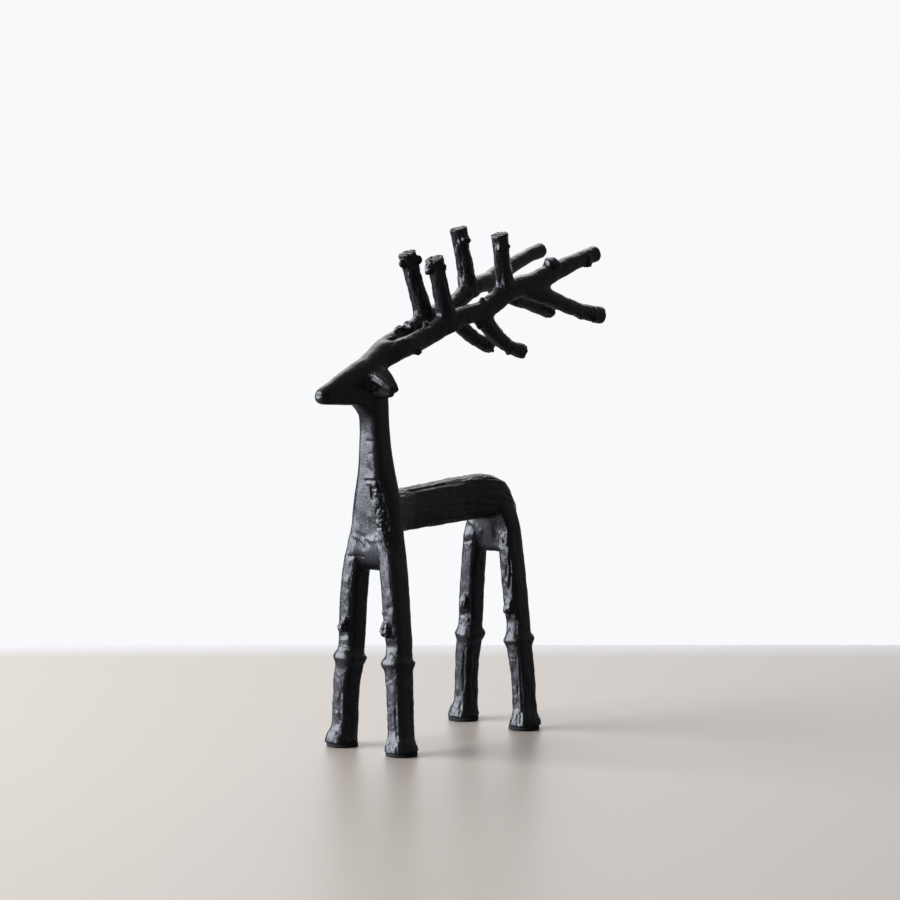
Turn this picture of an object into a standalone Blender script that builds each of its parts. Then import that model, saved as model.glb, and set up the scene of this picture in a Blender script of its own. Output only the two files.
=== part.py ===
"""Reindeer figurine: one solid sand-cast aluminium body on four round foot pads.

Metres, +Z up. The deer faces -Y and its left side is +X. The origin is on the
table, under the middle of the figure's bounding box.

The body is a set of limbs. Each limb is a rod, wrapped along a smooth path
through a few stations (x, y, z, width across, depth through), in millimetres.
Paths are laid out with y = 0 midway between the front and the hind feet.
"""
import math

import bmesh
import bpy
from mathutils import Matrix, Vector

MM = 0.001

# Driving dimensions, in millimetres.
PAD_DIAMETER = 16.0
PAD_THICKNESS = 2.0
PAD_EDGE = 0.4                # rounding of a pad's rims
PAD_GAP = 0.3                 # clearance between a pad and the hoof on it
PAD_SIDES = 24

FRONT_FOOT = (20.0, -47.6)    # x and y of the front pads' centres
HIND_FOOT = (20.6, 47.6)
BALANCE_SHIFT = -15.5         # moves the figure along Y, to centre its bounding box

ARCH_TOP = 90.8               # underside of the web between a pair of legs
KNEE = 45.5
BACK_TOP = 131.6              # level top of the body bar
BELLY = 109.6
FRONT_TINE_TOP = 246.6        # flat ends of the upright tines
REAR_TINE_TOP = 258.0
TINE_TIP = 3.0                # length of an upright tine's swollen tip
ANTLER_STAGGER = 1.2          # the right antler's tines lie higher by twice this

# Section shapes: superellipse exponents.
SQUARE = 4.6
BOXY = 3.7
SOFT = 3.0
ROUND = 2.2

ROD_SIDES = 20
SPAN_STEPS = 5                # sections between two stations
CUTTER_SIZE = 200.0

VOXEL = 1.05                  # grid that fuses the limbs into one skin
SMOOTHING_PASSES = 2
SKIN_SHARE = 0.077            # share of the fused skin's triangles that is kept


def smooth_stations(stations):
    """Catmull-Rom curve through the stations, every number of them alike."""
    lead_in = [2 * a - b for a, b in zip(stations[0], stations[1])]
    lead_out = [2 * a - b for a, b in zip(stations[-1], stations[-2])]
    points = [lead_in, *stations, lead_out]
    curve = []
    for span in zip(points, points[1:], points[2:], points[3:]):
        for step in range(SPAN_STEPS):
            t = step / SPAN_STEPS
            curve.append([
                b + 0.5 * t * (c - a + t * (2 * a - 5 * b + 4 * c - d + t * (3 * (b - c) + d - a)))
                for a, b, c, d in zip(*span)])
    curve.append(stations[-1])
    return curve


def superellipse(angle, width, squareness):
    """Signed reach of a section along its own axis at an angle's cosine or sine."""
    return math.copysign(abs(angle) ** (2 / squareness), angle) * width / 2


def add_limb(bm, stations, squareness, side_axis=(1, 0, 0)):
    """Wrap a rod along the stations; `across` lies along side_axis."""
    curve = smooth_stations(stations)
    levels = len(curve) - 1
    rod = bmesh.new()
    bmesh.ops.create_cone(rod, cap_ends=True, segments=ROD_SIDES, radius1=1, radius2=1, depth=1)
    uprights = [edge for edge in rod.edges if edge.verts[0].co.z != edge.verts[1].co.z]
    bmesh.ops.subdivide_edges(rod, edges=uprights, cuts=levels - 1, use_grid_fill=True)
    for vert in rod.verts:
        level = round((vert.co.z + 0.5) * levels)
        around = math.atan2(vert.co.y, vert.co.x)
        x, y, z, across, deep = curve[level]
        before = Vector(curve[max(level - 1, 0)][:3])
        after = Vector(curve[min(level + 1, levels)][:3])
        along = (after - before).normalized()
        side = Vector(side_axis)
        side = (side - along * side.dot(along)).normalized()
        through = along.cross(side)
        place = Vector((x, y, z))
        place += side * superellipse(math.cos(around), across, squareness)
        place += through * superellipse(math.sin(around), deep, squareness)
        vert.co = place * MM
    limb = bpy.data.meshes.new("limb")
    rod.to_mesh(limb)
    rod.free()
    bm.from_mesh(limb)
    bpy.data.meshes.remove(limb)


def mirrored(stations, hand):
    """The stations of a left-hand limb, for the left (hand 1) or the right (-1)."""
    return [(hand * x, y, z, across, deep) for x, y, z, across, deep in stations]


def add_legs(bm, hand):
    """A front and a hind leg: flared hoof, ringed knee, thinner shank between."""
    x, y = FRONT_FOOT
    add_limb(bm, mirrored([
        (x + 0.2, y - 0.3, 0, 14.2, 16.4),
        (x, y - 0.2, 4, 13.4, 15.6),
        (19.2, -47.0, 8, 10.8, 13.2),
        (18.8, -46.6, 13, 9.8, 12.3),
        (18.4, -46.6, 22, 9.7, 12.3),
        (17.7, -46.3, 34, 9.9, 12.7),
        (16.7, -45.9, KNEE - 4.5, 11.0, 13.8),
        (16.3, -45.7, KNEE, 12.6, 15.6),
        (16.1, -45.4, KNEE + 3, 11.0, 13.8),
        (15.9, -45.0, 52, 10.0, 12.4),
        (15.6, -44.8, 57, 10.0, 12.7),
        (14.6, -45.0, 70, 10.0, 13.0),
        (12.9, -44.8, 88, 10.0, 13.0),
        (9.2, -43.6, 106, 9.6, 13.6),
        (3.5, -43.8, 128, 8.5, 11.5),
    ], hand), SQUARE)
    x, y = HIND_FOOT
    add_limb(bm, mirrored([
        (x + 0.4, y + 0.6, 0, 14.0, 16.0),
        (x + 0.3, y + 0.7, 4, 13.2, 15.0),
        (20.2, 48.7, 8, 10.6, 12.6),
        (19.8, 48.9, 13, 9.2, 11.5),
        (19.5, 48.7, 22, 9.0, 11.4),
        (18.6, 48.3, 34, 9.2, 11.9),
        (17.3, 48.1, KNEE - 3.7, 10.4, 12.8),
        (16.7, 48.1, KNEE + 0.8, 12.2, 14.5),
        (16.4, 48.0, KNEE + 4, 10.6, 13.2),
        (16.3, 48.2, 53, 9.5, 11.9),
        (15.9, 48.1, 57, 9.4, 11.8),
        (14.7, 47.5, 70, 9.4, 12.2),
        (12.9, 47.0, 88, 9.2, 12.2),
        (10.0, 46.9, 106, 8.6, 11.9),
        (5.5, 46.0, 120, 8.0, 11.0),
    ], hand), SQUARE)


def add_buds(bm, hand):
    """Stubs of side shoots on the front of each leg, above its knee."""
    for x, y, z in ((14.1, -50.8, 62.0), (15.2, 42.4, 63.5)):
        add_limb(bm, mirrored([
            (x, y + 1.0, z + 6.2, 4.0, 3.0),
            (x, y - 0.4, z + 3, 5.2, 4.2),
            (x, y - 1.4, z - 0.2, 5.6, 5.2),
            (x, y - 1.6, z - 2.6, 4.6, 4.2),
        ], hand), SOFT)


def add_trunk(bm):
    """Neck and chest web, body bar, and the web between the hind legs."""
    add_limb(bm, [
        (0, -40.6, ARCH_TOP + 0.4, 29.0, 6.0),
        (0, -42.0, ARCH_TOP + 3.7, 31.0, 11.6),
        (0, -43.3, 99.5, 31.6, 14.2),
        (0, -43.2, 105, 30.0, 14.4),
        (0, -43.0, 113, 27.8, 14.6),
        (0, -42.6, 122, 25.0, 14.8),
        (0, -42.5, 132, 21.0, 14.8),
        (0, -43.4, 141, 16.8, 14.6),
        (0, -44.4, 151, 14.4, 13.8),
        (0, -45.0, 163, 12.8, 13.2),
        (0, -45.8, 176, 12.2, 14.0),
        (0, -46.4, 190, 10.4, 12.0),
    ], BOXY)
    middle = (BACK_TOP + BELLY) / 2
    girth = BACK_TOP - BELLY
    add_limb(bm, [
        (0, -44.0, middle - 1.2, 21.0, girth - 1.6),
        (0, -37.0, middle - 1.2, 22.4, girth - 0.8),
        (0, -31.0, middle - 1.2, 18.8, girth - 0.8),
        (0, -25.0, middle - 1.1, 15.6, girth - 0.8),
        (0, -18.0, middle - 0.9, 14.2, girth - 0.6),
        (0, 10.0, middle, 14.6, girth),
        (0, 26.0, middle + 0.5, 16.6, girth + 0.4),
        (0, 35.0, middle + 0.7, 19.4, girth + 0.2),
        (0, 42.6, middle - 0.2, 21.0, girth - 1.8),
        (0, 47.2, 117.4, 21.2, 15.0),
        (0, 50.4, 112.4, 21.0, 11.0),
        (0, 50.8, 106.4, 20.0, 6.0),
    ], SOFT)
    add_limb(bm, [
        (0, 48.2, ARCH_TOP + 0.6, 29.0, 5.2),
        (0, 48.2, ARCH_TOP + 3.8, 31.6, 8.6),
        (0, 48.0, 99, 31.0, 10.2),
        (0, 47.4, 104, 29.6, 11.6),
        (0, 46.6, 111, 26.2, 12.8),
        (0, 46.0, 118, 20.6, 11.6),
        (0, 44.6, 124, 15.0, 8.0),
    ], SQUARE)


def add_head(bm):
    """Wedge head: a blunt snout and a level jaw, with a crown that carries the antlers."""
    add_limb(bm, [
        (0, -86.6, 180.3, 2.8, 2.4),
        (0, -86.0, 180.1, 4.8, 4.6),
        (0, -84.6, 179.9, 6.6, 6.6),
        (0, -82.4, 179.9, 7.6, 8.4),
        (0, -75.0, 181.3, 9.2, 12.4),
        (0, -66.0, 183.0, 11.2, 17.4),
        (0, -56.0, 184.8, 13.0, 22.2),
        (0, -50.0, 186.2, 13.6, 23.6),
        (0, -45.0, 188.8, 13.0, 20.8),
        (0, -41.9, 191.8, 11.6, 15.0),
    ], ROUND)
    add_limb(bm, [
        (0, -60.5, 177.6, 7.4, 5.0),
        (0, -57.0, 176.0, 8.6, 6.0),
        (0, -53.4, 173.2, 9.6, 5.8),
        (0, -50.6, 169.4, 10.2, 4.6),
    ], SOFT)
    add_limb(bm, [
        (0, -73.0, 183.4, 5.0, 4.4),
        (0, -68.6, 185.9, 7.6, 6.8),
        (0, -60.2, 188.8, 10.2, 8.8),
        (0, -51.8, 191.6, 12.6, 10.8),
        (0, -43.4, 195.6, 14.0, 12.2),
        (0, -37.8, 199.3, 14.8, 11.6),
        (0, -33.8, 201.8, 14.6, 9.4),
    ], ROUND)


def add_ear(bm, hand):
    """Short leaf-like ear: a pointed upper half and a rounded lower lobe."""
    add_limb(bm, mirrored([
        (2.0, -49.4, 190.4, 11.6, 9.4),
        (6.0, -49.8, 189.8, 10.4, 8.6),
        (10.0, -50.2, 188.4, 9.0, 7.4),
        (14.0, -50.7, 186.0, 7.4, 6.4),
        (17.2, -50.8, 183.6, 5.4, 5.2),
        (19.4, -51.2, 181.7, 4.0, 4.2),
    ], hand), ROUND, side_axis=(0.2 * hand, 0.7, 0.7))
    add_limb(bm, mirrored([
        (3.0, -51.4, 182.0, 8.6, 6.4),
        (8.0, -51.6, 181.8, 9.6, 5.6),
        (13.0, -51.6, 181.4, 7.8, 4.8),
        (17.4, -51.8, 181.0, 5.0, 3.8),
    ], hand), ROUND, side_axis=(0, -0.45, 1))


def add_antler(bm, hand):
    """One antler: a beam that forks at its end, two upright tines, one hanging."""
    lift = -ANTLER_STAGGER * hand
    add_limb(bm, mirrored([
        (2.6, -46.0, 193.6, 7.0, 8.0),
        (5.0, -33.0, 200.3, 9.2, 10.4),
        (5.7, -21.5, 203.5, 9.2, 10.9),
        (6.5, -10.0, 207.4, 9.4, 10.6),
        (7.6, 0.5, 212.3, 9.9, 10.8),
        (8.7, 12.0, 215.8, 9.6, 9.8),
        (10.2, 25.0, 218.2, 9.7, 10.1),
        (11.4, 34.0, 222.2, 9.8, 10.6),
        (12.6, 42.5, 227.0, 9.8, 10.6),
        (13.6, 52.0, 229.5, 9.6, 10.4),
        (14.9, 61.5, 230.7, 9.5, 11.1),
        (16.0, 69.5, 234.0, 9.0, 10.3),
        (17.0, 84.5, 238.8, 8.3, 8.7),
        (18.0, 98.5, 243.0, 8.0, 8.0),
        (18.7, 108.9, 245.3, 8.5, 8.7),
    ], hand), ROUND)
    add_limb(bm, mirrored([
        (14.4, 57.5, 228.4, 7.3, 7.2),
        (15.9, 70.5, 224.7 + lift / 2, 8.3, 9.1),
        (16.5, 83.0, 220.5 + lift, 7.9, 8.2),
        (17.1, 99.0, 216.2 + lift, 7.9, 8.0),
        (17.8, 115.2, 212.4 + lift / 2, 8.6, 8.9),
    ], hand), ROUND)
    add_limb(bm, mirrored([
        (10.2, 20.0, 217.5, 7.0, 7.0),
        (10.8, 27.5, 213.3 + lift, 8.4, 9.4),
        (11.0, 33.5, 208.0 + lift, 8.2, 8.3),
        (11.0, 40.5, 202.9 + lift, 7.9, 7.7),
        (11.1, 48.5, 199.1 + lift, 7.7, 7.3),
        (11.3, 57.7, 196.2 + lift, 8.0, 8.0),
    ], hand), ROUND)
    top = FRONT_TINE_TOP + lift
    add_limb(bm, mirrored([
        (7.6, 2.6, 208.0, 10.6, 14.6),
        (7.8, 1.2, 214.5, 9.8, 12.0),
        (8.0, -0.8, 221.5, 8.8, 9.7),
        (8.4, -5.6, 233.8, 8.0, 8.4),
        (9.0, -8.9, top - TINE_TIP, 8.4, 8.8),
        (9.1, -10.2, top, 9.8, 10.0),
    ], hand), ROUND)
    top = REAR_TINE_TOP + lift
    add_limb(bm, mirrored([
        (12.6, 42.4, 223.0, 9.6, 12.4),
        (12.7, 41.6, 229.5, 9.0, 11.0),
        (12.9, 40.2, 236.5, 8.4, 9.2),
        (13.3, 37.4, 247.5, 8.0, 8.4),
        (13.7, 35.8, top - TINE_TIP, 8.2, 8.6),
        (13.8, 35.0, top, 9.0, 9.2),
    ], hand), ROUND)


def add_scars(bm):
    """The larger rounded scars of broken shoots, on the tines and beams."""
    for x, y, z, size in (
            (8.0, -12.8, 241.0, 5.2), (-9.5, -12.6, 242.3, 4.8),      # front tines
            (-5.1, -7.1, 244.4, 4.8), (-9.6, 36.2, 252.9, 4.8),       # right tines
            (4.6, -11.6, 211.6, 4.4), (-5.4, -13.6, 209.8, 8.0),      # roots of the front tines
            (-4.8, -20.3, 209.2, 5.0), (9.0, -22.8, 199.2, 4.2),      # roots of the beams
            (16.5, 73.8, 239.4, 8.6), (20.6, 99.3, 240.1, 4.4),       # left fork
            (19.2, 94.9, 213.2, 4.4), (-13.8, 112.2, 213.2, 4.6)):    # lower arms of the forks
        place = Matrix.Translation(Vector((x, y, z)) * MM)
        bmesh.ops.create_icosphere(bm, subdivisions=2, radius=size / 2 * MM, matrix=place)


def painted_metal():
    """Black satin paint over cast metal."""
    material = bpy.data.materials.new("black_satin_paint_on_cast_aluminium")
    material.use_nodes = True
    shader = material.node_tree.nodes["Principled BSDF"]
    shader.inputs["Base Color"].default_value = (0.010, 0.010, 0.012, 1)
    shader.inputs["Roughness"].default_value = 0.34
    shader.inputs["Metallic"].default_value = 0.0
    return material


def pad_rubber():
    """Dull black foam rubber."""
    material = bpy.data.materials.new("black_foam_rubber")
    material.use_nodes = True
    shader = material.node_tree.nodes["Principled BSDF"]
    shader.inputs["Base Color"].default_value = (0.018, 0.018, 0.018, 1)
    shader.inputs["Roughness"].default_value = 0.85
    return material


def add_object(name, bm, material):
    """An object from a bmesh, shaded smooth, shifted so that its box is centred."""
    mesh = bpy.data.meshes.new(name)
    bm.to_mesh(mesh)
    bm.free()
    mesh.materials.append(material)
    mesh.shade_smooth()
    piece = bpy.data.objects.new(name, mesh)
    piece.location.y = BALANCE_SHIFT * MM
    bpy.context.scene.collection.objects.link(piece)
    return piece


def hoof_cutter():
    """Block whose top is the level plane of the hooves' undersides."""
    bm = bmesh.new()
    bmesh.ops.create_cube(bm, size=CUTTER_SIZE * MM)
    top = PAD_THICKNESS + PAD_GAP
    bmesh.ops.translate(bm, verts=bm.verts, vec=(0, 0, (top - CUTTER_SIZE / 2) * MM))
    cutter = add_object("hoof_cutter", bm, None)
    cutter.hide_render = True
    cutter.display_type = "WIRE"
    return cutter


def build_casting():
    """The whole deer, fused from its limbs and cut level under its hooves."""
    bm = bmesh.new()
    add_trunk(bm)
    add_head(bm)
    for hand in (1, -1):
        add_legs(bm, hand)
        add_buds(bm, hand)
        add_ear(bm, hand)
        add_antler(bm, hand)
    add_scars(bm)
    deer = add_object("reindeer_casting", bm, painted_metal())

    fuse = deer.modifiers.new("fuse", "REMESH")
    fuse.mode = "VOXEL"
    fuse.voxel_size = VOXEL * MM
    fuse.use_smooth_shade = True
    soften = deer.modifiers.new("soften", "SMOOTH")
    soften.iterations = SMOOTHING_PASSES
    lighten = deer.modifiers.new("lighten", "DECIMATE")
    lighten.ratio = SKIN_SHARE
    level = deer.modifiers.new("level", "BOOLEAN")
    level.operation = "DIFFERENCE"
    level.object = hoof_cutter()


def build_pads():
    """Four self-adhesive discs, one under each hoof."""
    rubber = pad_rubber()
    for row, (x, y) in (("front", FRONT_FOOT), ("hind", HIND_FOOT)):
        for side, hand in (("left", 1), ("right", -1)):
            bm = bmesh.new()
            radius = PAD_DIAMETER / 2 * MM
            bmesh.ops.create_cone(bm, cap_ends=True, segments=PAD_SIDES, radius1=radius,
                                  radius2=radius, depth=PAD_THICKNESS * MM)
            rims = [edge for edge in bm.edges
                    if abs(edge.verts[0].co.z - edge.verts[1].co.z) < PAD_EDGE * MM]
            bmesh.ops.bevel(bm, geom=rims, offset=PAD_EDGE * MM, segments=1, profile=0.5,
                            affect="EDGES")
            bmesh.ops.translate(bm, verts=bm.verts,
                                vec=(hand * x * MM, y * MM, PAD_THICKNESS / 2 * MM))
            pad = add_object(f"foot_pad_{row}_{side}", bm, rubber)
            pad.data.set_sharp_from_angle(angle=math.radians(30))


def main():
    for old in list(bpy.data.objects):
        bpy.data.objects.remove(old)
    build_casting()
    build_pads()


main()
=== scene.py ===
import math

import bmesh
import bpy
import numpy as np
from mathutils import Matrix, Vector, noise


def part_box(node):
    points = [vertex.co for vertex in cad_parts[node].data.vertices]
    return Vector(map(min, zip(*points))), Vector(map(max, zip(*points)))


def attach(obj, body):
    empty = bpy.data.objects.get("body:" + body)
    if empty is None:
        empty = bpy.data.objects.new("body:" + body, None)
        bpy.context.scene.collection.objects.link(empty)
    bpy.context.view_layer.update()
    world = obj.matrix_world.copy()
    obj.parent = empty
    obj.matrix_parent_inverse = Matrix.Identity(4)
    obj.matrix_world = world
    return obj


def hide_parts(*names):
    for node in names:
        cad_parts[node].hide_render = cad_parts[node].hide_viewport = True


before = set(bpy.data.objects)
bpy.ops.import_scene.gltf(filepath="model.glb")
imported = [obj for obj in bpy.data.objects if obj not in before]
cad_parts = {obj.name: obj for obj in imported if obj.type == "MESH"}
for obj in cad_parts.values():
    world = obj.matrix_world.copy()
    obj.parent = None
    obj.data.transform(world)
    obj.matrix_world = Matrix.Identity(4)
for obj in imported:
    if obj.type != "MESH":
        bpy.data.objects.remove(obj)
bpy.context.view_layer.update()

# Black reindeer: one sand-cast aluminium body on four foam rubber pads.
# The deer faces -Y. Limb tables are in millimetres, with y = 0 midway between
# the front and the hind feet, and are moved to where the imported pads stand.

mm = 0.001
padNames = {row + "_" + side: "foot_pad_" + row + "_" + side
            for row in ("front", "hind") for side in ("left", "right")}
padBoxes = {spot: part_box(node) for spot, node in padNames.items()}
padMiddles = {spot: (low + high) / 2 for spot, (low, high) in padBoxes.items()}
feetMiddle = sum(middle.y for middle in padMiddles.values()) / len(padMiddles)
padTop = padBoxes["front_left"][1].z
print("frame: feet midway at y", round(feetMiddle / mm, 2), "mm, pads", round(padTop / mm, 2), "mm thick")


# Section shapes of the limbs: how boxy they are.
square, soft, oval = 4.6, 3.0, 2.2
kneeUp = 45.5                # height of the rings on the knees, in mm

casting = dict(
    rodSides=64,
    stationStep=0.7,         # sections along a limb, in mm
    firstGrid=1.0,           # grid that fuses the big limbs, in mm
    trunkFillet=5.0,         # inner corners where the big limbs meet
    antlerFillet=7.0,
    forkFillet=3.2,          # at the antlers' ends
    antlersFrom=196.0,       # height above which the antlers' fillets hold
    forksFrom=53.0,          # y beyond which the forks' fillet holds
    bigPasses=170,
    fineGrid=0.5,            # grid that takes in the small parts, in mm
    smallFillet=1.8,
    smallPasses=26,
    evenPasses=2,            # smoothing all over
    softPasses=60,           # smoothing of the soft spots
    ease=0.5,                # how far a pass of smoothing moves a point towards its neighbours
    triangles=190000,
    hoofGap=0.3,             # adhesive between a hoof and its pad
)

# Big limbs: x, y, z, width across, depth through, and a section shape where it changes.
frontLeg = dict(shape=3.6, bark=dict(lines=0.07, lumps=0.07, shank=0.06), stations=[
    (20.2, -47.9, 0, 14.4, 16.6, 3.0), (20.0, -47.8, 4, 13.6, 15.8, 3.0), (19.2, -47.0, 8, 11.0, 13.4, 3.4),
    (18.8, -46.6, 13, 10.3, 12.9), (18.4, -46.6, 22, 10.2, 12.9), (17.7, -46.3, 34, 10.5, 13.4),
    (16.6, -45.7, 41, 10.9, 13.7), (16.0, -44.8, 51, 10.5, 12.9), (15.6, -44.8, 57, 10.5, 13.3),
    (14.6, -45.0, 70, 10.5, 13.7), (12.9, -44.8, 88, 10.5, 13.7), (9.2, -43.6, 106, 10.1, 14.3),
    (3.5, -43.8, 128, 8.9, 12.1)])

hindLeg = dict(shape=3.6, bark=dict(lines=0.11, lumps=0.08, shank=0.06), stations=[
    (21.0, 48.2, 0, 14.2, 16.2, 3.0), (20.9, 48.3, 4, 13.4, 15.2, 3.0), (20.2, 48.7, 8, 10.8, 12.8, 3.4),
    (19.8, 48.9, 13, 9.7, 12.1), (19.5, 48.7, 22, 9.5, 12.0), (18.6, 48.3, 34, 9.7, 12.5),
    (17.2, 48.2, 42, 10.3, 12.9), (16.4, 48.3, 51, 9.9, 12.3), (15.9, 48.1, 57, 9.9, 12.4),
    (14.7, 47.5, 70, 9.9, 12.8), (12.9, 47.0, 88, 9.7, 12.8), (10.0, 46.9, 106, 9.0, 12.5),
    (5.5, 46.0, 120, 8.4, 11.6)])

trunk = [
    dict(shape=3.7, bark=dict(lines=0.02, lumps=0.04, streaks=0.4), stations=[    # chest and neck
        (0, -40.6, 91.2, 29.0, 5.0), (0, -42.0, 94.5, 31.0, 11.0), (0, -43.1, 99.5, 31.6, 14.2),
        (0, -43.0, 105, 30.0, 14.4), (0, -42.9, 113, 27.8, 14.8), (0, -42.9, 122, 25.0, 15.6),
        (0, -43.2, 132, 21.0, 15.2), (0, -43.6, 141, 16.8, 14.6), (0, -44.3, 151, 14.4, 13.6),
        (0, -44.9, 163, 12.8, 12.8), (0, -45.8, 176, 12.2, 14.0), (0, -46.4, 190, 10.4, 12.0)]),
    dict(shape=soft, bark=dict(lines=0.30, lumps=0.10, length=24), stations=[     # body
        (0, -44.0, 119.4, 21.0, 20.4), (0, -37.0, 119.4, 22.4, 21.2), (0, -31.0, 119.4, 18.8, 21.2),
        (0, -25.0, 119.5, 15.6, 21.2), (0, -18.0, 119.7, 14.2, 21.4), (0, 10.0, 120.6, 14.6, 22.0),
        (0, 26.0, 121.1, 16.6, 22.4), (0, 35.0, 121.3, 19.4, 22.2, 3.4), (0, 42.6, 120.4, 21.0, 20.2, 3.4),
        (0, 47.2, 117.4, 21.2, 15.0, 3.4), (0, 50.4, 112.4, 21.0, 11.0, 3.4), (0, 50.8, 106.4, 20.0, 6.0)]),
    dict(shape=square, bark=dict(lines=0.06, lumps=0.15), stations=[          # web over the hind legs
        (0, 48.2, 91.4, 29.0, 4.4), (0, 48.2, 94.6, 31.6, 7.8), (0, 48.0, 99, 31.0, 9.8),
        (0, 47.4, 104, 29.6, 11.6), (0, 46.6, 111, 26.2, 12.8, 3.8), (0, 46.0, 118, 20.6, 11.6, 3.0),
        (0, 44.6, 124, 15.0, 8.0, 3.0)]),
    dict(shape=2.3, bark=dict(lines=0.02, lumps=0.05, streaks=0.5), stations=[    # head
        (0, -85.9, 180.7, 3.4, 3.0), (0, -85.4, 180.6, 5.4, 5.0), (0, -84.3, 180.4, 7.0, 7.2),
        (0, -82.2, 180.2, 8.0, 8.8), (0, -75.0, 181.3, 9.2, 12.4), (0, -66.0, 183.0, 11.2, 17.4),
        (0, -56.0, 184.8, 13.0, 22.2), (0, -50.0, 186.2, 13.6, 23.6),
        (0, -45.0, 188.8, 13.0, 20.8), (0, -41.9, 191.8, 11.6, 15.0)]),
    dict(shape=soft, bark=dict(lines=0.02, lumps=0.04, streaks=0.5), stations=[   # under the jaw
        (0, -60.5, 177.6, 7.4, 5.0), (0, -57.0, 176.0, 8.6, 6.0), (0, -53.4, 173.2, 9.6, 5.8),
        (0, -50.6, 169.4, 10.2, 4.6)]),
    dict(shape=2.3, bark=dict(lines=0.03, lumps=0.06, streaks=0.6), stations=[    # crown, below the antlers
        (0, -73.0, 183.4, 5.0, 4.4), (0, -68.6, 185.9, 8.2, 7.2), (0, -60.2, 188.7, 11.2, 9.4),
        (0, -51.8, 191.6, 13.0, 10.9), (0, -43.4, 195.6, 14.0, 12.2), (0, -37.8, 199.3, 14.8, 11.6),
        (0, -33.8, 201.8, 14.6, 9.4)]),
]


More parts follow.
